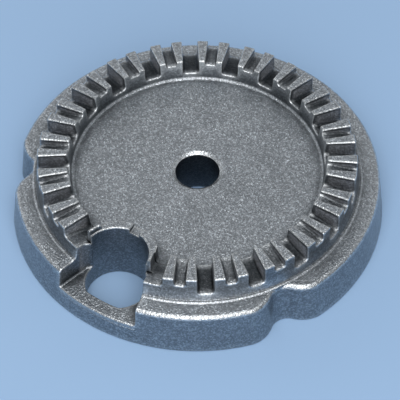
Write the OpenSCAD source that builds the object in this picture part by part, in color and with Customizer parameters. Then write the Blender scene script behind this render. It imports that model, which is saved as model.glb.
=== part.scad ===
// Burner head for a gas hob, cast in aluminium in one piece.
// A crown of flame slots stands on a round flange with a drafted skirt. Gas and air rise
// through the throat in the middle, spread over the chamber floor and leave by the slots.
// On the -Y side the crown is cut away round an upright hole, where an electrode stands.
// The origin is on the throat's axis, at the level of the skirt's bottom edge.

/* [Crown] */
// Height of the crown's top above the bottom edge of the skirt
height = 15.4; // [14.6:0.1:18]
// Outer diameter of the crown
crown_d = 66; // [56:0.5:80]
// Width of the crown from its inner wall, at the chamber floor, to its outer wall
crown_w = 6.8; // [6:0.1:8.5]
// How far the crown's inner wall leans outwards from its foot to its top
crown_draft = 0.55; // [0.2:0.05:1]
// Radius on the top edges of the crown
crown_round = 0.35; // [0.2:0.05:0.6]
// Height at which the crown's outer wall starts to flare, measured down from its top
flare_drop = 3; // [2.2:0.1:3.6]
// How far the foot of the crown flares outwards
flare = 0.55; // [0.3:0.05:0.8]

/* [Flame slots] */
// Number of deep slots in a full turn, with a shallow slot between each two
slot_pairs = 20; // [16:1:22]
// Width of a deep slot
deep_w = 3.3; // [2.4:0.1:3.6]
// Depth of a deep slot at the crown's outer wall
deep_depth = 4.15; // [3.4:0.05:4.6]
// Depth at the outer wall of the two slots next to the electrode cut-out, as wide as the deep ones
beside_depth = 2.5; // [2.2:0.05:3.4]
// Radius in the bottom corners of a deep slot
deep_corner = 0.75; // [0.3:0.05:1]
// Width of a shallow slot
shallow_w = 2.3; // [1.6:0.1:2.6]
// Depth of a shallow slot at the crown's outer wall
shallow_depth = 1.95; // [1.7:0.05:2.6]
// Radius in the bottom corners of a shallow slot
shallow_corner = 0.5; // [0.2:0.05:0.6]
// Slope of the slot floors, in degrees down towards the outside
slot_slope = 8.5; // [4:0.5:9]
// Radius on the lips of the slots
lip_round = 0.3; // [0.15:0.05:0.4]

/* [Flange] */
// Height of the flat land of the flange
land_h = 9.6; // [8.8:0.1:10.2]
// Width of the flange from the crown's outer wall to the flange's outer edge
flange_w = 4.85; // [4.2:0.05:7]
// Radius on the flange's outer edge
flange_round = 0.8; // [0.4:0.05:1.2]
// How far the skirt spreads outwards from the flange's edge to its bottom edge
skirt_draft = 0.9; // [0.3:0.05:1]
// Chamfer on the skirt's bottom edge
skirt_chamfer = 0.25; // [0.1:0.05:0.5]
// Height of the step at the foot of the crown above the land
step_h = 0.25; // [0.15:0.05:0.3]
// Width of the step from the crown's outer wall to where it meets the land
step_w = 1.45; // [1.4:0.05:1.8]
// Radius on the outer edge of the step
step_round = 0.7; // [0.5:0.05:0.8]

/* [Scallops] */
// Angle of each of the two scallops from the electrode's side
scallop_angle = 61.2; // [50:0.2:150]
// Radius of the hollow of a scallop
scallop_r = 3.5; // [2.6:0.1:4]
// Radius of the shoulders beside the hollow
shoulder_r = 6.7; // [4:0.1:8]
// Distance from the flange's edge to the deepest line of a scallop, on the land
scallop_depth = 3.6; // [2.6:0.1:3.8]
// Slope of a scallop from upright, in degrees
scallop_slope = 5.5; // [5.5:0.5:9]

/* [Chamber and throat] */
// Height of the chamber floor
floor_h = 10.8; // [9.8:0.1:11]
// Radius between the chamber floor and the walls round it
floor_fillet = 0.7; // [0.3:0.05:0.8]
// Diameter of the throat
throat_d = 9.2; // [7:0.1:16]
// Chamfer at both ends of the throat
throat_chamfer = 0.5; // [0.2:0.05:0.8]
// Wall of the throat's tube under the floor
throat_wall = 2.9; // [2:0.1:4]

/* [Electrode hole] */
// Diameter of the upright hole for the electrode
hole_d = 13; // [11:0.1:13.6]
// Wall round the hole
hole_wall = 2; // [1.6:0.1:2.6]
// Drop from the crown's top to the top of the wall round the hole
hole_wall_drop = 1.2; // [0.8:0.1:1.5]
// Step by which the hole is wider above its wall
hole_step = 0.35; // [0.1:0.05:0.45]
// Web left between the hole and the outside of the skirt
web = 3.1; // [2.4:0.1:4]
// Height of the pad in front of the hole
pad_h = 4.9; // [3.5:0.1:6.5]
// Ledge between the hole and each side wall of the cut-out
ledge = 0.63; // [0.3:0.01:1]
// Width of the ignition slot at the hole
ignition_w = 2.4; // [1.6:0.1:3]
// Width of the ignition slot at the chamber
ignition_mouth = 3; // [3:0.1:4]
// Depth of the ignition slot, from the top of the wall it crosses
ignition_depth = 1.1; // [0.8:0.1:1.6]

/* [Underside] */
// Thickness of the floor and of the flange
roof_t = 2.4; // [1.8:0.1:3]
// Thickness of the skirt, and of the wall behind each scallop and each side of the cut-out
skirt_t = 2.4; // [1.8:0.1:3]
// Draft of the walls on the underside, in degrees
core_draft = 2; // [1:0.5:4]

/* [Hidden] */
$fn = 96;
// Margin by which a cutter passes the surface that it opens
over = 1;
// Number of flats that stand for each small rounded corner
flats = 3;
// How far past the flange's edge the shoulders of a scallop run out
run_out = 0.1;
// Height above the chamber floor at which the floors of the two slots beside the cut-out end
ramp_end = 0.1;

crown_r = crown_d / 2;
chamber_r = crown_r - crown_w;
crown_top_r = chamber_r + crown_draft;
flange_r = crown_r + flange_w;
base_r = flange_r + skirt_draft;
skirt_top = land_h - flange_round;
foot_h = land_h + step_h;
flare_top = height - flare_drop;
pitch = 360 / slot_pairs;
beside_slope = -atan((height - beside_depth - floor_h - ramp_end) / (crown_w + floor_fillet));

hole_r = hole_d / 2;
hole_at = crown_r - crown_w / 2;
hole_wall_r = hole_r + hole_wall;
hole_wall_top = height - hole_wall_drop;
cut_angle = asin((hole_r + ledge) / hole_at);
web_r = base_r - skirt_draft * pad_h / skirt_top - web;
throat_r = throat_d / 2;
tube_r = throat_r + throat_wall;

// Points along an arc, its centre first, then its radius and its two end angles
function arc(centre, r, from, to, steps = flats) =
    [for (i = [0 : steps])
        let (a = from + (to - from) * i / steps)
        centre + r * [cos(a), sin(a)]];

// Radius of the hollow curve that runs out by a width as it falls by a height
function flare_r(width, fall) = (width * width + fall * fall) / (2 * width);

// Section of the casting outside its throat, from the axis round to the axis
function body_section() =
    let (
        fall = flare_top - foot_h,
        foot_r = flare_r(flare, fall),
        step_end = asin((step_round - step_h) / step_round),
        step_c = [crown_r + step_w - step_round * cos(step_end), foot_h - step_round]
    )
    concat(
        [[0, 0], [base_r - skirt_chamfer, 0], [base_r, skirt_chamfer]],
        arc([flange_r - flange_round, skirt_top], flange_round, 0, 90, 5),
        arc(step_c, step_round, step_end, 90, 4),
        [[crown_r + flare, foot_h]],
        [for (i = [1 : 5])
            let (a = 180 + asin(fall / foot_r) * (5 - i) / 5)
            [crown_r + foot_r, flare_top] + foot_r * [cos(a), sin(a)]],
        arc([crown_r - crown_round, height - crown_round], crown_round, 0, 90),
        arc([crown_top_r + crown_round, height - crown_round], crown_round, 90, 180),
        arc([chamber_r - floor_fillet, floor_h + floor_fillet], floor_fillet, 0, -90),
        [[0, floor_h]]
    );

// Wall round the electrode hole, with a rounded top edge and a fillet on the chamber floor
module hole_wall() {
    translate([0, -hole_at, 0])
        rotate_extrude()
            polygon(concat(
                [[0, 0], [hole_wall_r, 0]],
                [[hole_wall_r, floor_h - roof_t / 2]],
                [[hole_wall_r + floor_fillet, floor_h - roof_t / 2]],
                arc([hole_wall_r, floor_h] + floor_fillet * [1, 1], floor_fillet, 270, 180),
                arc([hole_wall_r, hole_wall_top] - crown_round * [1, 1], crown_round, 0, 90),
                [[0, hole_wall_top]]
            ));
}

// Channel of a slot along +X, with its floor falling outwards by a slope, or inwards by a slope
// below 0
module slot_channel(width, depth, corner, slope = slot_slope, reach_in = crown_w + 3) {
    side = width / 2;
    translate([crown_r, 0, height - depth])
        rotate([0, slope, 0])
            translate([-reach_in, 0, 0])
                rotate([90, 0, 90])
                    linear_extrude(reach_in + flange_w)
                        polygon(concat(
                            arc([-side + corner, corner], corner, 180, 270),
                            arc([side - corner, corner], corner, 270, 360),
                            [[side, height], [-side, height]]
                        ));
}

// Channel of a slot beside the cut-out, with its floor falling inwards to the chamber floor
module beside_channel() {
    reach_in = (crown_w + floor_fillet) / cos(beside_slope);
    slot_channel(deep_w, beside_depth, deep_corner, beside_slope, reach_in);
}

// Rounded lips along the top of a slot
module slot_lips(width) {
    side = width / 2;
    outer = side + lip_round;
    reach_in = crown_w + 3;
    translate([crown_r - reach_in, 0, height])
        rotate([90, 0, 90])
            linear_extrude(reach_in + flange_w)
                polygon(concat(
                    [[-outer, over]],
                    arc([-outer, -lip_round], lip_round, 90, 0),
                    arc([outer, -lip_round], lip_round, 180, 90),
                    [[outer, over]]
                ));
}

// True where a slot at this angle from the -Y direction stays clear of the cut-out
function clear_of_cut(angle) = cos(angle) < cos(cut_angle);

// All flame slots, apart from those that would fall within the cut-out
module flame_slots() {
    for (i = [0 : slot_pairs - 1]) {
        deep_at = i * pitch;
        shallow_at = deep_at + pitch / 2;
        beside_cut = i == 1 || i == slot_pairs - 1;
        if (clear_of_cut(deep_at))
            rotate(deep_at - 90) {
                if (beside_cut)
                    beside_channel();
                else
                    slot_channel(deep_w, deep_depth, deep_corner);
                slot_lips(deep_w);
            }
        if (clear_of_cut(shallow_at))
            rotate(shallow_at - 90) {
                slot_channel(shallow_w, shallow_depth, shallow_corner);
                slot_lips(shallow_w);
            }
    }
}

// Wedge about the -Y direction, outside a radius
module wedge(half_angle, inner_r, low, high) {
    far = base_r * 1.5;
    difference() {
        translate([0, 0, low])
            linear_extrude(high - low)
                polygon([
                    [0, 0],
                    far * [-sin(half_angle), -cos(half_angle)],
                    far * [sin(half_angle), -cos(half_angle)]
                ]);
        translate([0, 0, low - over])
            cylinder(r = inner_r, h = high - low + 2 * over);
    }
}

// Cut-out for the electrode: the hole, the notch down to the pad and the ignition slot
module electrode_cut() {
    // Hole, kept inside the web, and its wider step above the wall
    intersection() {
        translate([0, -hole_at, -over])
            cylinder(r = hole_r, h = height + 2 * over);
        translate([0, 0, -2 * over])
            cylinder(r = web_r, h = height + 4 * over);
    }
    translate([0, -hole_at, hole_wall_top])
        cylinder(r = hole_r + hole_step, h = height);
    // Notch through the crown and the flange, down to the pad
    wedge(cut_angle, hole_at, pad_h, height + over);
    // Thin ends of the teeth beside the notch, taken down to the floors of the slots
    for (side = [-1, 1])
        rotate(side * pitch - 90)
            translate([crown_r, side > 0 ? 0 : deep_w, height - beside_depth])
                rotate([90, 0, 0])
                    linear_extrude(deep_w)
                        polygon([
                            [-crown_w / 2, crown_w / 2 * tan(beside_slope)],
                            [step_w, -step_w * tan(beside_slope)],
                            [step_w, height],
                            [-crown_w / 2, height]
                        ]);
    // Ignition slot from the hole to the chamber
    translate([0, -hole_at, hole_wall_top - ignition_depth])
        linear_extrude(height)
            polygon([
                [-ignition_w / 2, 0],
                [ignition_w / 2, 0],
                [ignition_w / 2, hole_r],
                [ignition_mouth / 2, hole_wall_r + over],
                [-ignition_mouth / 2, hole_wall_r + over],
                [-ignition_w / 2, hole_r]
            ]);
}

// Scallop in the flange's edge, along +X: a hollow between two rounded shoulders
module scallop() {
    hollow_at = flange_r - scallop_depth + scallop_r;
    edge_r = flange_r + run_out;
    reach = edge_r - shoulder_r;
    span = scallop_r + shoulder_r;
    shoulder_x = (reach * reach + hollow_at * hollow_at - span * span) / (2 * hollow_at);
    shoulder_y = sqrt(reach * reach - shoulder_x * shoulder_x);
    turn = atan2(shoulder_y, hollow_at - shoulder_x);
    edge_turn = atan2(shoulder_y, shoulder_x);
    far = base_r + 3;
    translate([hollow_at, 0, land_h])
        rotate([0, -scallop_slope, 0])
            translate([-hollow_at, 0, -land_h - 2 * over])
                linear_extrude(land_h + 4 * over)
                    polygon(concat(
                        [far * [cos(edge_turn), -sin(edge_turn)]],
                        arc([shoulder_x, -shoulder_y], shoulder_r, -edge_turn, turn, 5),
                        arc([hollow_at, 0], scallop_r, 180 + turn, 180 - turn, 7),
                        arc([shoulder_x, shoulder_y], shoulder_r, -turn, edge_turn, 5),
                        [far * [cos(edge_turn), sin(edge_turn)]]
                    ));
}

// Both scallops, one on each side of the electrode
module scallops() {
    for (side = [-1, 1])
        rotate(side * scallop_angle - 90)
            scallop();
}

// Hollow under the floor, round the throat's tube, clear of the walls that must stay
module underside_hollow() {
    roof = floor_h - roof_t;
    low_roof = land_h - roof_t;
    lean = tan(core_draft);
    slant_r = crown_r - 2;
    difference() {
        rotate_extrude()
            polygon([
                [tube_r, -over],
                [tube_r + roof * lean, roof],
                [slant_r, roof],
                [crown_r, low_roof],
                [base_r - skirt_t - skirt_draft, low_roof],
                [base_r - skirt_t, -over]
            ]);
        translate([0, -hole_at, -2 * over])
            cylinder(r = hole_wall_r, h = height);
        wedge(cut_angle + asin(skirt_t / hole_at), hole_at, -2 * over, height);
        for (side = [-1, 1])
            rotate(side * scallop_angle - 90)
                translate([flange_r - scallop_depth + scallop_r + skirt_draft / 2, 0, -2 * over])
                    cylinder(r = scallop_r + skirt_t, h = height);
    }
}

// Throat through the floor and its tube, chamfered at both ends
module throat() {
    translate([0, 0, -over])
        cylinder(r = throat_r, h = floor_h + 2 * over);
    translate([0, 0, floor_h - throat_chamfer])
        cylinder(r1 = throat_r, r2 = throat_r + throat_chamfer + over, h = throat_chamfer + over);
    translate([0, 0, -over])
        cylinder(r1 = throat_r + throat_chamfer + over, r2 = throat_r, h = throat_chamfer + over);
}

module burner_head() {
    color([0.66, 0.69, 0.71])
        difference() {
            union() {
                rotate_extrude()
                    polygon(body_section());
                intersection() {
                    hole_wall();
                    cylinder(r = crown_r, h = height);
                }
            }
            flame_slots();
            electrode_cut();
            scallops();
            underside_hollow();
            throat();
        }
}

burner_head();
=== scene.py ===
"""A gas hob's burner head: one aluminium die casting, shot-blasted, on a pale floor."""
import math

import bmesh
import bpy
import numpy as np
from mathutils import Matrix, Vector


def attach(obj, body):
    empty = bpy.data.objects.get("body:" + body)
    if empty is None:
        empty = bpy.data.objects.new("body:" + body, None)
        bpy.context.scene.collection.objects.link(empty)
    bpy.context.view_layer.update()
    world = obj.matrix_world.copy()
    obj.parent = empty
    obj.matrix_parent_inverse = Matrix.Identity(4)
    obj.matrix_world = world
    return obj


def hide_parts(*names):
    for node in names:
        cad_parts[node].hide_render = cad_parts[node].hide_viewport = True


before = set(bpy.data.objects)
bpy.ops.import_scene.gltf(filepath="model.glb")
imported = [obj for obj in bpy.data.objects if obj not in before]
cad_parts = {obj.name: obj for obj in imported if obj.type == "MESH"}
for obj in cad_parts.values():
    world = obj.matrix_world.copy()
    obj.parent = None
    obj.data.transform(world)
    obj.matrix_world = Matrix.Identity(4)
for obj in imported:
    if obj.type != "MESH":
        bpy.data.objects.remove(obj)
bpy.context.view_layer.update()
mm = 0.001

# Camera. It looks down at the casting from well in front, with a long lens, and stands
# to the right of the electrode's side, which is the -Y side.
view_azimuth = math.radians(-56.55)
view_elevation = math.radians(49.55)
view_roll = math.radians(0.55)
view_distance = 469.87 * mm
aim_right = 0.462 * mm
aim_up = 0.770 * mm

to_camera = Vector((
    math.cos(view_elevation) * math.cos(view_azimuth),
    math.cos(view_elevation) * math.sin(view_azimuth),
    math.sin(view_elevation),
))
level_right = Vector((-math.sin(view_azimuth), math.cos(view_azimuth), 0.0))
level_up = to_camera.cross(level_right)
camera_right = level_right * math.cos(view_roll) - level_up * math.sin(view_roll)
camera_up = level_up * math.cos(view_roll) + level_right * math.sin(view_roll)

camera_data = bpy.data.cameras.new("camera")
camera_data.lens = 200.67
camera_data.sensor_width = 36.0
camera_data.clip_start = 10 * mm
camera = bpy.data.objects.new("camera", camera_data)
bpy.context.collection.objects.link(camera)
camera_place = to_camera * view_distance + camera_right * aim_right + camera_up * aim_up
camera.matrix_world = Matrix((
    (camera_right.x, camera_up.x, to_camera.x, camera_place.x),
    (camera_right.y, camera_up.y, to_camera.y, camera_place.y),
    (camera_right.z, camera_up.z, to_camera.z, camera_place.z),
    (0.0, 0.0, 0.0, 1.0),
))
bpy.context.scene.camera = camera

# Body of the casting: the flange with its skirt, the crown before its slots are cut, and the
# chamber floor with the throat's tube. All of it is turned about the throat's axis.
height = 15.4 * mm
crown_r = 33.0 * mm
chamber_r = 26.2 * mm
crown_top_r = 26.75 * mm
crown_round = 0.35 * mm
flare_top = 12.4 * mm
flare = 0.55 * mm
land_h = 9.6 * mm
foot_h = 9.85 * mm
foot_fillet = 0.12 * mm
step_r = 34.3 * mm
step_round = 0.7 * mm
flange_r = 37.85 * mm
flange_round = 0.95 * mm
base_r = 38.75 * mm
small_round = 0.3 * mm
floor_h = 10.8 * mm
floor_fillet = 0.7 * mm
throat_r = 4.6 * mm
throat_chamfer = 0.5 * mm
turn_steps = 240


def arc(centre, radius, start, end, steps):
    """Points of a circle about centre, from one angle to the other, both in degrees."""
    a = np.radians(np.linspace(start, end, steps + 1))
    return np.stack([centre[0] + radius * np.cos(a), centre[1] + radius * np.sin(a)], axis=-1)


def grid_faces(rows, columns, close_rows):
    """Quads between neighbouring points of a grid whose columns close on themselves."""
    i, j = np.meshgrid(np.arange(rows if close_rows else rows - 1), np.arange(columns), indexing="ij")
    here = i * columns
    above = (i + 1) % rows * columns
    side = (j + 1) % columns
    return np.stack([here + j, here + side, above + side, above + j], axis=-1).reshape(-1, 4)


def solid_from_grid(name, grid, close_rows=False):
    """Closed solid from a grid of points, with flat caps where the rows don't close."""
    rows, columns = grid.shape[:2]
    faces = grid_faces(rows, columns, close_rows).tolist()
    if not close_rows:
        faces.append(list(range(columns))[::-1])
        faces.append(list(range((rows - 1) * columns, rows * columns)))
    mesh = bpy.data.meshes.new(name)
    mesh.from_pydata(grid.reshape(-1, 3), [], faces)
    shell = bmesh.new()
    shell.from_mesh(mesh)
    bmesh.ops.recalc_face_normals(shell, faces=shell.faces)
    shell.to_mesh(mesh)
    shell.free()
    solid = bpy.data.objects.new(name, mesh)
    bpy.context.collection.objects.link(solid)
    return solid


def turned(outline, steps, centre=(0.0, 0.0)):
    """Grid of an outline (r, z) turned about an upright axis: x = r cos a, y = r sin a, z = z."""
    a = np.linspace(0.0, 2 * np.pi, steps, endpoint=False)[:, None]
    r, z = outline[:, 0], outline[:, 1]
    x = centre[0] + r * np.cos(a)
    y = centre[1] + r * np.sin(a)
    return np.stack([x, y, np.broadcast_to(z, x.shape)], axis=-1)


def combine(solid, tools, operation):
    """Cuts the tools out of a solid, adds them to it or keeps what it shares with them."""
    for tool in tools:
        boolean = solid.modifiers.new("boolean", "BOOLEAN")
        boolean.solver = "MANIFOLD"
        boolean.operation = operation
        boolean.object = tool
    shaped = solid.evaluated_get(bpy.context.evaluated_depsgraph_get())
    solid.data = bpy.data.meshes.new_from_object(shaped)
    solid.modifiers.clear()
    for tool in tools:
        bpy.data.objects.remove(tool)
    return solid


flare_fall = flare_top - foot_h
flare_r = (flare ** 2 + flare_fall ** 2) / (2 * flare)
flare_turn = math.degrees(math.asin(flare_fall / flare_r))
foot_r = crown_r + flare + foot_fillet * math.tan(math.radians(45 - flare_turn / 2))
step_end = math.degrees(math.asin(1 - (foot_h - land_h) / step_round))
step_c = (step_r - step_round * math.cos(math.radians(step_end)), foot_h - step_round)
skirt_lean = math.degrees(math.atan((base_r - flange_r) / (land_h - flange_round)))

body_outline = np.concatenate([
    [[throat_r, throat_chamfer], [throat_r + throat_chamfer, 0.0]],
    arc((base_r - small_round, small_round), small_round, -90, skirt_lean, 4),
    arc((flange_r - flange_round, land_h - flange_round), flange_round, skirt_lean, 90, 8),
    arc(step_c, step_round, step_end, 90, 6),
    arc((foot_r, foot_h + foot_fillet), foot_fillet, 270, 180 + flare_turn, 4),
    arc((crown_r + flare_r, flare_top), flare_r, 180 + 0.85 * flare_turn, 180, 9),
    arc((crown_r - crown_round, height - crown_round), crown_round, 0, 90, 5),
    arc((crown_top_r + crown_round, height - crown_round), crown_round, 90, 171, 5),
    arc((chamber_r - floor_fillet, floor_h + floor_fillet), floor_fillet, -9, -90, 6),
    arc((throat_r + throat_chamfer + small_round, floor_h - small_round), small_round, 90, 135, 3),
    [[throat_r, floor_h - throat_chamfer]],
])
burner = solid_from_grid("burner_casting", turned(body_outline, turn_steps), close_rows=True)

# Wall round the electrode's hole. It is cast on the chamber floor with a fillet at its foot,
# keeps inside the crown's outer wall, and is a little lower than the crown.
hole_at = 29.6 * mm
hole_r = 6.5 * mm
hole_wall_r = 8.5 * mm
hole_wall_top = 14.2 * mm
hole_centre = (0.0, -hole_at)

hole_wall_outline = np.concatenate([
    [[mm, floor_h - mm], [hole_wall_r + floor_fillet, floor_h - mm]],
    arc((hole_wall_r + floor_fillet, floor_h + floor_fillet), floor_fillet, 270, 180, 6),
    arc((hole_wall_r - crown_round, hole_wall_top - crown_round), crown_round, 0, 90, 5),
    [[mm, hole_wall_top]],
])
hole_wall = solid_from_grid("hole_wall", turned(hole_wall_outline, 120, hole_centre), close_rows=True)
crown_bound = turned(np.array([[mm, 0.0], [crown_r, 0.0], [crown_r, height], [mm, height]]), turn_steps)
combine(hole_wall, [solid_from_grid("crown_bound", crown_bound, close_rows=True)], "INTERSECT")
combine(burner, [hole_wall], "UNION")

# Flame slots. Parallel slots run outwards through the crown, a shallow one between each two deep
# ones, with rounded bottoms, lips and mouths. Their floors fall outwards, apart from those of the
# two wide slots beside the electrode, which fall to the chamber and are widened towards it.
slot_pairs = 20
deep_width = 3.3 * mm
deep_depth = 4.15 * mm
deep_corner = 0.75 * mm
beside_depth = 2.5 * mm
widening_corner = 0.1 * mm
shallow_width = 2.3 * mm
shallow_depth = 1.95 * mm
shallow_corner = 0.5 * mm
slot_fall = math.tan(math.radians(8.5))
beside_end = floor_h + 0.1 * mm
beside_fall = (beside_end - height + beside_depth) / (crown_r - chamber_r + floor_fillet)
mouth_round = 0.32 * mm
mouth_clear = 0.4 * mm
mouth_flare = 0.42 * mm
lip_round = 0.3 * mm
cutter_reach = 3.4 * mm
electrode_side = -90.0
slot_pitch = 360 / slot_pairs
ledge = 0.63 * mm
cut_angle = math.degrees(math.asin((hole_r + ledge) / hole_at))


def crown_outer(z):
    """Radius of the crown's outer wall at a height: upright, then a hollow flare to its foot."""
    fall = np.clip(flare_top - z, 0.0, flare_fall)
    return crown_r + flare_r - np.sqrt(flare_r ** 2 - fall ** 2)


def crown_inner(z):
    """Radius of the crown's inner wall at a height: a straight draft from foot to top."""
    foot = floor_h + floor_fillet
    return chamber_r + (crown_top_r - chamber_r) * np.clip((z - foot) / (height - foot), 0.0, 1.0)


def turn_about_axis(grid, degrees):
    """Grid turned about the throat's axis: x and y by the plane's rotation, z kept."""
    a = math.radians(degrees)
    x, y, z = np.moveaxis(grid, -1, 0)
    return np.stack([x * math.cos(a) - y * math.sin(a), x * math.sin(a) + y * math.cos(a), z], axis=-1)


def slot_grid(width, depth, corner, fall, shift=0.0, start_r=None):
    """Grid of a slot's cutter along +X. Each row is the slot's section at one depth into the
    crown's inner or outer wall. Near a wall the section swells by a quarter circle, which
    rounds the slot's mouth. The floor falls outwards by fall, or to the chamber where that is
    negative, and keeps above the chamber floor. A slot with a start_r begins there instead,
    and has no inner mouth."""
    side = width / 2
    foot = arc((0.0, 0.0), 1.0, -90, 0, 5)
    lip = arc((side + lip_round, -lip_round), lip_round, 180, 90, 4)
    lower, upper = np.ones(len(foot)), np.ones(len(lip) + 1)
    y = np.concatenate([side - corner + corner * foot[:, 0], lip[:, 0], [side + lip_round]])
    z = np.concatenate([corner - depth + corner * foot[:, 1], lip[:, 1], [mm]])
    out_y = np.concatenate([foot[:, 0], upper])
    out_z = np.concatenate([foot[:, 1], 0 * upper])
    on_floor = np.concatenate([lower, 0 * upper])
    y, out_y = (np.concatenate([v, -v[::-1]]) for v in (y, out_y))
    z, out_z, on_floor = (np.concatenate([v, v[::-1]]) for v in (z, out_z, on_floor))

    turn = np.radians(np.linspace(12, 90, 6))
    into = np.concatenate([[-cutter_reach, -mouth_clear, -0.03 * mm], mouth_round * (1 - np.cos(turn))])
    swell = np.concatenate([[0.0, 0.0, mouth_flare], mouth_round * (1 - np.sin(turn))])
    inner = [(crown_inner, chamber_r, d, e) for d, e in zip(into, swell)]
    outer = [(crown_outer, crown_r, -d, e) for d, e in zip(into, swell)][::-1]
    if start_r:
        inner = [(lambda z: start_r + 0 * z, start_r, 0.0, 0.0)]
    rows = []
    for wall, wall_r, d, e in inner + outer:
        row_y = y + shift + e * out_y
        row_z = height + z + e * out_z + on_floor * (crown_r - wall_r - d) * fall
        row_z = np.maximum(row_z, beside_end)
        row_x = np.sqrt((wall(row_z) + d) ** 2 - row_y ** 2)
        rows.append(np.stack([row_x, row_y, row_z], axis=-1))
    return np.array(rows)


deep_slot = slot_grid(deep_width, deep_depth, deep_corner, slot_fall)
beside_slot = slot_grid(deep_width, beside_depth, deep_corner, beside_fall)
shallow_slot = slot_grid(shallow_width, shallow_depth, shallow_corner, slot_fall)
slot_cutters = []
for i in range(slot_pairs):
    wide_slot = beside_slot if i in (1, slot_pairs - 1) else deep_slot
    for slot, turns in ((wide_slot, i), (shallow_slot, i + 0.5)):
        from_electrode = turns * slot_pitch
        if math.cos(math.radians(from_electrode)) < math.cos(math.radians(cut_angle)):
            placed = turn_about_axis(slot, electrode_side + from_electrode)
            slot_cutters.append(solid_from_grid("slot", placed))
for side in (-1, 1):
    shift = -side * deep_width / 2
    widening = slot_grid(deep_width, beside_depth, widening_corner, beside_fall, shift, hole_at)
    placed = turn_about_axis(widening, electrode_side + side * slot_pitch)
    slot_cutters.append(solid_from_grid("widening", placed))
combine(burner, slot_cutters, "DIFFERENCE")

# Electrode's cut-out. The upright hole goes through the casting, a notch opens it to the
# outside down to a pad, and a small slot lets the spark into the chamber. Its edges are
# rounded, as the die leaves them.
pad_h = 4.9 * mm
web_r = 35.1 * mm
hole_step = 0.35 * mm
edge_round = 0.3 * mm
pad_round = 0.4 * mm
pad_fillet = 0.45 * mm
blend = 1.5 * mm
ignition_width = 2.4 * mm
ignition_mouth = 3.0 * mm
ignition_floor = 13.1 * mm
ignition_corner = 0.35 * mm
skirt_at_pad = base_r - (base_r - flange_r) * pad_h / (land_h - flange_round)


def rounding(radius, steps=5):
    """Quarter circle that rounds an edge: how far each point lies inside the edge, and how
    far a cutter swells there."""
    a = np.radians(np.linspace(90, 10, steps))
    return radius * (1 - np.cos(a)), radius * (1 - np.sin(a))


def hole_grid():
    """Grid of the hole's cutter about the hole's axis. At each height the radius is the smaller
    of the hole's own and the distance to the web's arc, both swollen where an edge is rounded.
    The half towards the pad has its edge at the pad, and the other half at the wall's top."""
    into, swell = rounding(edge_round)
    base = [(d, e, e) for d, e in zip(into, swell)][::-1]
    pad = [(pad_h - d, 0.0, e) for d, e in zip(into, swell)]
    wall = [(hole_wall_top - d, e, edge_round) for d, e in zip(into, swell)]
    crown = [(height - d, hole_step + e, edge_round) for d, e in zip(into, swell)]
    levels = [(-mm, edge_round, edge_round)] + base + pad + wall
    levels += [(hole_wall_top + 0.02 * mm, hole_step, edge_round)] + crown
    levels += [(height + mm, hole_step + edge_round, edge_round)]
    a = np.linspace(0.0, 2 * np.pi, 144, endpoint=False)
    to_pad = np.cos(a) > 0.01
    rows = []
    for z, swell_in, swell_out in levels:
        e = np.where(to_pad, swell_out, swell_in)
        along = hole_at * np.cos(a)
        to_web = np.sqrt(along ** 2 - hole_at ** 2 + (web_r + e) ** 2) - along
        r = np.minimum(hole_r + e, to_web)
        rows.append(np.stack([r * np.sin(a), -hole_at - r * np.cos(a), 0 * a + z], axis=-1))
    return np.array(rows)


def notch_swell(r, z):
    """How far the notch's wall stands back at points (r, z), which rounds its edges: a quarter
    circle of the depth under the casting's surface, by the shortest distance to its section."""
    ledge_h = height - beside_depth
    stub = [[hole_at, ledge_h + (crown_r - hole_at) * beside_fall], [crown_r, ledge_h]]
    outer_r, outer_h = body_outline.T
    outside = (outer_r > crown_r - 0.001 * mm) & (outer_h > edge_round) & (outer_h < ledge_h)
    section = np.concatenate([stub, body_outline[outside][::-1]])
    start, along = section[:-1], np.diff(section, axis=0)
    point = np.stack([r, z], axis=-1)[..., None, :]
    share = np.clip(((point - start) * along).sum(-1) / (along ** 2).sum(-1), 0.0, 1.0)
    away = np.linalg.norm(point - start - share[..., None] * along, axis=-1).min(-1)
    surface = np.interp(r, section[:, 0] + 1e-9 * np.arange(len(section)), section[:, 1])
    rest = np.where(z < surface, np.clip(edge_round - away, 0.0, edge_round), edge_round)
    return edge_round - np.sqrt(edge_round ** 2 - rest ** 2)


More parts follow.
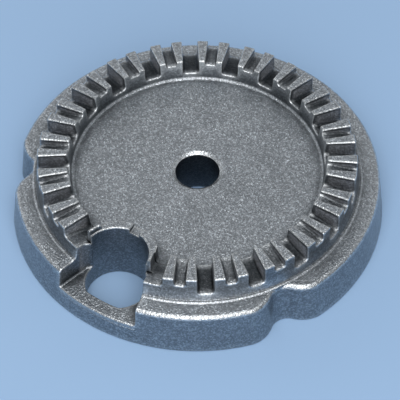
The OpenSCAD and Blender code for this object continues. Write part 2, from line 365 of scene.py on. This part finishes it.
def notch_grid():
    """Grid of the notch's cutter about the throat's axis. A row is its section at one radius: an
    arc of floor between the side walls, then each wall upwards, drawn in by a fillet over the
    floor and swollen near the casting's surface. The walls leave the hole in an S-shaped curve,
    3 t^2 - 2 t^3, and the floor is rounded where it meets the skirt. Rows and levels, in mm
    here, stand closest where the surface of the casting turns."""
    pad = arc((skirt_at_pad - pad_round, pad_h - pad_round), pad_round, 90, 10, 6)
    pad = np.concatenate([pad, [[skirt_at_pad + 0.1 * mm, pad_h - mm], [base_r + mm, pad_h - 2 * mm]]])
    by_hole, to_crown = np.arange(29.6, 31.2, 0.2), np.arange(31.4, 32.4, 0.5)
    at_crown, over_land = np.arange(32.4, 34.8, 0.08), np.arange(34.8, 36.8, 0.5)
    at_edge = np.arange(36.8, 38.8, 0.1)
    r = np.union1d(np.concatenate([by_hole, to_crown, at_crown, over_land, at_edge]) * mm, pad[:, 0])
    up_skirt, round_land = np.arange(5.8, 8.1, 0.7), np.arange(8.1, 10.2, 0.07)
    up_crown, round_floor = np.arange(10.3, 11.5, 0.4), np.arange(11.5, 13.0, 0.07)
    z = np.concatenate([up_skirt, round_land, up_crown, round_floor, [14.5, 16.4]]) * mm
    floor = np.interp(r, pad[:, 0], pad[:, 1], left=pad_h)[:, None]
    above, inset = rounding(pad_fillet, 7)
    wall_z = np.concatenate([floor + above[::-1], np.maximum(z, floor + pad_fillet)], axis=1)
    t = np.clip((r[:, None] - hole_at) / blend, 0.0, 1.0)
    inset = np.concatenate([inset[::-1], 0 * z]) + ledge * (1 - t ** 2 * (3 - 2 * t))
    wall_r = r[:, None] + 0 * wall_z
    wall_a = math.radians(cut_angle) + np.arcsin((notch_swell(wall_r, wall_z) - inset) / wall_r)
    floor_a = wall_a[:, :1] * np.linspace(-1, 1, 15)
    floor_z = wall_z[:, :1] + 0 * floor_a
    a = np.concatenate([floor_a, wall_a[:, 1:], -wall_a[:, :0:-1]], axis=1)
    z = np.concatenate([floor_z, wall_z[:, 1:], wall_z[:, :0:-1]], axis=1)
    return np.stack([wall_r[:, :1] * np.sin(a), -wall_r[:, :1] * np.cos(a), z], axis=-1)


def ignition_grid():
    """Grid of the ignition slot's cutter: a small slot's section, wider towards the chamber."""
    deep = hole_wall_top - ignition_floor
    corner = ignition_corner
    rows = []
    for y, half in ((-hole_at, ignition_width / 2), (hole_wall_r - mm - hole_at, ignition_width / 2),
                    (hole_wall_r + mm - hole_at, ignition_mouth / 2)):
        foot = arc((half - corner, corner - deep), corner, -90, 0, 4)
        lip = arc((half + lip_round, -lip_round), lip_round, 180, 95, 4)
        side = np.concatenate([foot, lip, [[half + lip_round, 2 * mm]]])
        x = np.concatenate([side[:, 0], -side[::-1, 0]])
        z = np.concatenate([side[:, 1], side[::-1, 1]]) + hole_wall_top
        rows.append(np.stack([x, y + 0 * x, z], axis=-1))
    return np.array(rows)


combine(burner, [
    solid_from_grid("electrode_hole", hole_grid()),
    solid_from_grid("notch", notch_grid()),
    solid_from_grid("ignition_slot", ignition_grid()),
], "DIFFERENCE")

# Scallops. Two hollows in the flange's edge, one on each side of the electrode, run down the
# whole skirt between wide rounded shoulders, and lean outwards with it. Their upper edge is as
# round as the flange's own, and spares the step at the crown's foot.
scallop_angle = 61.2
scallop_r = 3.5 * mm
shoulder_r = 6.7 * mm
scallop_at = flange_r - 3.6 * mm + scallop_r
scallop_lean = math.tan(math.radians(5.5))


def scallop_grid():
    """Grid of a scallop's cutter along +X: its outline in plan is the hollow's arc between two
    shoulder arcs, each tangent to it, and is swollen where an edge is rounded, but not into the
    step. Each row is the outline at one height, moved outwards as the height falls."""
    reach = flange_r + 0.1 * mm - shoulder_r
    span = scallop_r + shoulder_r
    x = (reach ** 2 + scallop_at ** 2 - span ** 2) / (2 * scallop_at)
    y = math.sqrt(reach ** 2 - x ** 2)
    turn = math.degrees(math.atan2(y, scallop_at - x))
    edge = math.degrees(math.atan2(y, x))
    into, swell = rounding(edge_round)
    levels = [(-mm, swell[-1])] + list(zip(into, swell))[::-1]
    into, swell = rounding(flange_round, 8)
    levels += [(land_h - d, e) for d, e in zip(into, swell)] + [(height, swell[-1])]
    rows = []
    for z, e in levels:
        hollow = arc((scallop_at, 0.0), scallop_r + e, 180 + turn, 180 - turn, 20)
        low = arc((x, -y), shoulder_r - e, -edge, turn, 12)
        high = arc((x, y), shoulder_r - e, -turn, edge, 12)
        far = np.array([[math.cos(math.radians(edge)), math.sin(math.radians(edge))]]) * (base_r + 4 * mm)
        plan = np.concatenate([far * [1, -1], low, hollow[1:-1], high, far])
        plan = plan + [(land_h - z) * scallop_lean, 0.0]
        r = np.hypot(plan[:, 0], plan[:, 1])
        plan = plan * (np.maximum(r, step_r - 0.1 * mm) / r)[:, None]
        rows.append(np.column_stack([plan, np.full(len(plan), z)]))
    return np.array(rows)


combine(burner, [
    solid_from_grid("scallop", turn_about_axis(scallop_grid(), electrode_side + side * scallop_angle))
    for side in (-1, 1)
], "DIFFERENCE")

# Underside. The casting is hollow under the floor, round the throat's tube, and keeps its wall
# behind the scallops, round the electrode's hole and beside the notch.
roof_t = 2.4 * mm
skirt_t = 2.4 * mm
tube_r = 7.5 * mm
hollow_corner = 1.0 * mm
hollow_draft = 0.8 * mm
roof_slope = 2 * mm
hollow_lean = math.tan(math.radians(2.0))
roof = floor_h - roof_t
low_roof = land_h - roof_t
skirt_in_r = base_r - skirt_t

hollow_outline = np.concatenate([
    [[tube_r - edge_round, -mm]],
    arc((tube_r - edge_round, edge_round), edge_round, -90, 0, 4),
    arc((tube_r + roof * hollow_lean + hollow_corner, roof - hollow_corner), hollow_corner, 180, 90, 5),
    [[crown_r - roof_slope, roof], [crown_r, low_roof]],
    arc((skirt_in_r - hollow_draft - hollow_corner, low_roof - hollow_corner), hollow_corner, 90, 0, 5),
    arc((skirt_in_r + edge_round, edge_round), edge_round, 180, 270, 4),
    [[skirt_in_r + edge_round, -mm]],
])
hollow = solid_from_grid("hollow", turned(hollow_outline, turn_steps), close_rows=True)


def post(name, radius, centre):
    """Upright cylinder that stays solid in the hollow: x = r cos a, y = r sin a about its centre."""
    outline = np.array([[0.1 * mm, -2 * mm], [radius, -2 * mm], [radius, height], [0.1 * mm, height]])
    return solid_from_grid(name, turned(outline, 96, centre), close_rows=True)


def beside_notch():
    """Grid of the block that backs the notch's sides: a sector of a ring, from floor to roof."""
    half = math.radians(cut_angle) + math.asin(skirt_t / hole_at)
    a = np.linspace(-half, half, 13)
    r = np.concatenate([np.full(13, hole_at), np.full(13, base_r + mm)])
    a = np.concatenate([a, a[::-1]])
    plan = np.stack([r * np.sin(a), -r * np.cos(a)], axis=-1)
    return np.array([np.column_stack([plan, np.full(len(plan), z)]) for z in (-2 * mm, height)])


backings = [post("hole_backing", hole_wall_r, hole_centre), solid_from_grid("notch_backing", beside_notch())]
for side in (-1, 1):
    a = math.radians(electrode_side + side * scallop_angle)
    at = scallop_at + 0.4 * mm
    backings.append(post("scallop_backing", scallop_r + skirt_t, (at * math.cos(a), at * math.sin(a))))
combine(hollow, backings, "DIFFERENCE")
combine(burner, [hollow], "DIFFERENCE")

# Finish. The casting is blasted with shot, which leaves a bright grain of small dents and worn edges, partly
# painted as highlights.
# The slots, the throat and the other recesses are darkened with painted shade.
metal = bpy.data.materials.new("cast_aluminium")
metal.use_nodes = True
metal_nodes = metal.node_tree
metal_shader = metal_nodes.nodes["Principled BSDF"]


def shader_node(kind, inputs, **settings):
    """Node of a kind in the metal. Each input is joined to a socket or given a value."""
    node = metal_nodes.nodes.new(kind)
    for name, value in settings.items():
        setattr(node, name, value)
    for name, value in inputs.items():
        if isinstance(value, bpy.types.NodeSocket):
            metal_nodes.links.new(value, node.inputs[name])
        else:
            node.inputs[name].default_value = value
    return node.outputs


def remapped(value, start, end, to_start, to_end):
    """Socket that goes from to_start to to_end while a value goes from start to end."""
    inputs = {"Value": value, "From Min": start, "From Max": end, "To Min": to_start, "To Max": to_end}
    return shader_node("ShaderNodeMapRange", inputs)["Result"]


def multiplied(first, second):
    """Socket with the product of two values."""
    return shader_node("ShaderNodeMath", {0: first, 1: second}, operation="MULTIPLY")[0]


def mixed_colour(share, first, second):
    """Socket with a colour that goes from the first to the second as the share goes to 1."""
    return shader_node("ShaderNodeMix", {0: share, 6: first, 7: second}, data_type="RGBA")[2]


def larger(first, second):
    """Socket with the larger of two values."""
    return shader_node("ShaderNodeMath", {0: first, 1: second}, operation="MAXIMUM")[0]


def openness(reach, inside=False):
    """Share of the directions out of the surface, or into it, that are free within a reach."""
    settings = {"only_local": True, "inside": inside, "samples": 16}
    return shader_node("ShaderNodeAmbientOcclusion", {"Distance": reach}, **settings)["AO"]


def toned(colour, brightness):
    """Socket with a colour made brighter or darker by a factor."""
    return shader_node("ShaderNodeHueSaturation", {"Value": brightness, "Color": colour})["Color"]


coordinates = shader_node("ShaderNodeTexCoord", {})
place = coordinates["Object"]
upright = shader_node("ShaderNodeSeparateXYZ", {"Vector": coordinates["Normal"]})["Z"]
spot = shader_node("ShaderNodeSeparateXYZ", {"Vector": place})
level = shader_node("ShaderNodeCombineXYZ", {"X": spot["X"], "Y": spot["Y"]})[0]
from_axis = shader_node("ShaderNodeVectorMath", {0: level}, operation="LENGTH")["Value"]
hole_axis = (*hole_centre, 0.0)
from_hole = shader_node("ShaderNodeVectorMath", {0: level, 1: hole_axis}, operation="DISTANCE")["Value"]

# The slots' walls and floors are told by their place in the crown and by how upright they are.
past_inner_wall = remapped(from_axis, crown_top_r, crown_top_r + mm, 0.0, 1.0)
within_outer_wall = remapped(from_axis, crown_r - 0.8 * mm, crown_r, 1.0, 0.0)
off_hole = remapped(from_hole, hole_r + 0.5 * mm, hole_r + 1.5 * mm, 0.0, 1.0)
under_tops = remapped(spot["Z"], height - 0.9 * mm, height - 0.3 * mm, 1.0, 0.0)
in_slot = multiplied(multiplied(past_inner_wall, within_outer_wall), multiplied(off_hole, under_tops))
slot_wall = multiplied(in_slot, remapped(upright, 0.3, 0.6, 1.0, 0.0))
slot_floor = multiplied(in_slot, remapped(upright, 0.3, 0.7, 0.0, 1.0))

# Painted light on the high outer end of the two ramps beside the cut-out, and painted shade on the other
# slots' floors.
beside_reach = hole_r + 4 * mm
shaded_slot_floor = multiplied(slot_floor, remapped(from_hole, beside_reach, beside_reach + mm, 0.0, 1.0))
lit_ramp_floor = multiplied(slot_floor, remapped(from_hole, beside_reach, beside_reach + mm, 0.8, 0.0))
high_end = remapped(from_axis, crown_r - 4.5 * mm, crown_r - 2 * mm, 0.0, 1.0)

# Open places get the blasted colour and recesses painted shade; thin or broadly rounded edges get a worn
# colour that is partly painted highlight.
# Openness within 10 mm and within 0.4 mm sets the painted shade in recesses and creases.
around = openness(10 * mm)
crease = openness(0.4 * mm)
narrow = openness(0.6 * mm, inside=True)
broad = openness(1.4 * mm, inside=True)
# Painted shade: faces that turn sideways get less of the blasted colour than faces that look up.
facing_up_lit = remapped(upright, 0.0, 0.6, 0.32, 1.0)
unshaded_share = multiplied(remapped(around, 0.56, 0.82, 0.0, 1.0), facing_up_lit)
# The ramps' high outer ends get painted light.
unshaded_share = larger(unshaded_share, multiplied(lit_ramp_floor, high_end))
# Edges worn bright, partly real wear and partly painted highlight: thin edges, and broad roundings between
# upright and level faces.
turning = multiplied(remapped(upright, 0.05, 0.25, 0.0, 1.0), remapped(upright, 0.998, 0.97, 0.0, 1.0))
broad_wear_and_highlight = multiplied(remapped(broad, 0.97, 0.86, 0.0, 0.5), turning)
narrow_wear_and_highlight = multiplied(remapped(narrow, 0.95, 0.76, 0.0, 1.0), remapped(upright, 0.0, 0.3, 0.2, 1.0))
wear_and_highlight_share = multiplied(larger(narrow_wear_and_highlight, broad_wear_and_highlight), remapped(around, 0.4, 0.65, 0.0, 1.0))

# Each dent of the shot has its own tone, and the recesses and creases are darkened with painted shade.
dents = shader_node("ShaderNodeTexVoronoi", {"Vector": place, "Scale": 3800.0})
grit = shader_node("ShaderNodeTexNoise", {
    "Vector": place, "Scale": 2600.0, "Detail": 2.0, "Roughness": 0.6,
})["Fac"]
stains = shader_node("ShaderNodeTexNoise", {"Vector": place, "Scale": 150.0, "Detail": 3.0})["Fac"]
dent_tone = shader_node("ShaderNodeSeparateColor", {"Color": dents["Color"]})["Red"]
# Squaring the dent tone leaves a few bright dents: partly random grain, partly painted glints.
sparkle = multiplied(dent_tone, dent_tone)
shot_tone = multiplied(remapped(sparkle, 0.0, 1.0, 0.72, 1.48), remapped(stains, 0.3, 0.7, 0.93, 1.07))
worn_highlight_tone = remapped(sparkle, 0.0, 1.0, 0.84, 1.3)
# Painted shade: a factor that darkens recesses, creases and the level slot floors.
painted_shade_factor = multiplied(remapped(around, 0.1, 0.4, 0.4, 1.0), remapped(crease, 0.66, 0.87, 0.2, 1.0))
painted_shade_factor = multiplied(painted_shade_factor, remapped(shaded_slot_floor, 0.0, 1.0, 1.0, 0.6))

# The darkest colour here is painted shade for the recesses.
painted_shade_colour = (0.09, 0.10, 0.11, 1.0)
wall_skin = (0.32, 0.33, 0.35, 1.0)
shot_skin = (0.52, 0.55, 0.58, 1.0)
# The worn edge colour is partly real wear and partly painted highlight.
worn_highlight_edge = (0.67, 0.69, 0.70, 1.0)
skin = mixed_colour(slot_wall, mixed_colour(unshaded_share, painted_shade_colour, shot_skin), wall_skin)
skin = mixed_colour(wear_and_highlight_share, toned(skin, multiplied(painted_shade_factor, shot_tone)), toned(worn_highlight_edge, worn_highlight_tone))
gloss = remapped(unshaded_share, 0.0, 1.0, 0.4, 0.22)
gloss = shader_node("ShaderNodeMath", {0: slot_wall, 1: 0.4, 2: gloss}, operation="MULTIPLY_ADD")[0]
relief = shader_node("ShaderNodeMath", {0: dents["Distance"], 1: 0.3, 2: grit}, operation="MULTIPLY_ADD")[0]
grain = shader_node("ShaderNodeBump", {"Height": relief, "Distance": 0.13 * mm})["Normal"]
metal_nodes.links.new(skin, metal_shader.inputs["Base Color"])
metal_nodes.links.new(gloss, metal_shader.inputs["Roughness"])
metal_nodes.links.new(grain, metal_shader.inputs["Normal"])
metal_shader.inputs["Metallic"].default_value = 1.0

burner.data.materials.clear()
burner.data.materials.append(metal)
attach(burner, "root")
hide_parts("burner_head")

# Floor. A wide sheet of matt, pale blue paper lies under the casting, which stands on it with
# the whole bottom edge of its skirt.
paper = bpy.data.materials.new("pale_paper")
paper.use_nodes = True
paper_shader = paper.node_tree.nodes["Principled BSDF"]
paper_shader.inputs["Base Color"].default_value = (0.37, 0.55, 0.80, 1.0)
paper_shader.inputs["Roughness"].default_value = 0.9

sheet_half = 1.5
corners = np.array([[-1, -1, 0], [1, -1, 0], [1, 1, 0], [-1, 1, 0]]) * sheet_half
floor_mesh = bpy.data.meshes.new("floor")
floor_mesh.from_pydata(corners, [], [(0, 1, 2, 3)])
floor_mesh.materials.append(paper)
floor = bpy.data.objects.new("floor", floor_mesh)
bpy.context.collection.objects.link(floor)

# Light. One tall softbox hangs in front, from the zenith nearly down to the floor, so that every
# edge that turns towards the camera shines. Three small ones stand low, at both sides and behind.
lamp_distance = 0.6


def softbox(name, around_view, elevation, width, tall, energy):
    """Rectangular soft light that faces the casting, at an angle round from the camera."""
    azimuth = view_azimuth + math.radians(around_view)
    elevation = math.radians(elevation)
    direction = Vector((
        math.cos(elevation) * math.cos(azimuth),
        math.cos(elevation) * math.sin(azimuth),
        math.sin(elevation),
    ))
    light = bpy.data.lights.new(name, "AREA")
    light.shape = "RECTANGLE"
    light.size = width
    light.size_y = tall
    light.energy = energy
    box = bpy.data.objects.new(name, light)
    box.location = direction * lamp_distance
    box.rotation_euler = direction.to_track_quat("Z", "Y").to_euler()
    bpy.context.collection.objects.link(box)


softbox("front_softbox", around_view=0, elevation=52, width=0.45, tall=1.3, energy=4.2)
softbox("left_softbox", around_view=-118, elevation=26, width=0.4, tall=0.35, energy=0.25)
softbox("right_softbox", around_view=118, elevation=26, width=0.4, tall=0.35, energy=0.15)
softbox("back_softbox", around_view=190, elevation=26, width=0.6, tall=0.2, energy=0.2)

studio = bpy.data.worlds.new("studio")
studio.use_nodes = True
studio_light = studio.node_tree.nodes["Background"]
studio_light.inputs["Color"].default_value = (0.9, 0.95, 1.0, 1.0)
studio_light.inputs["Strength"].default_value = 0.3
bpy.context.scene.world = studio
bpy.context.scene.view_settings.view_transform = "Standard"
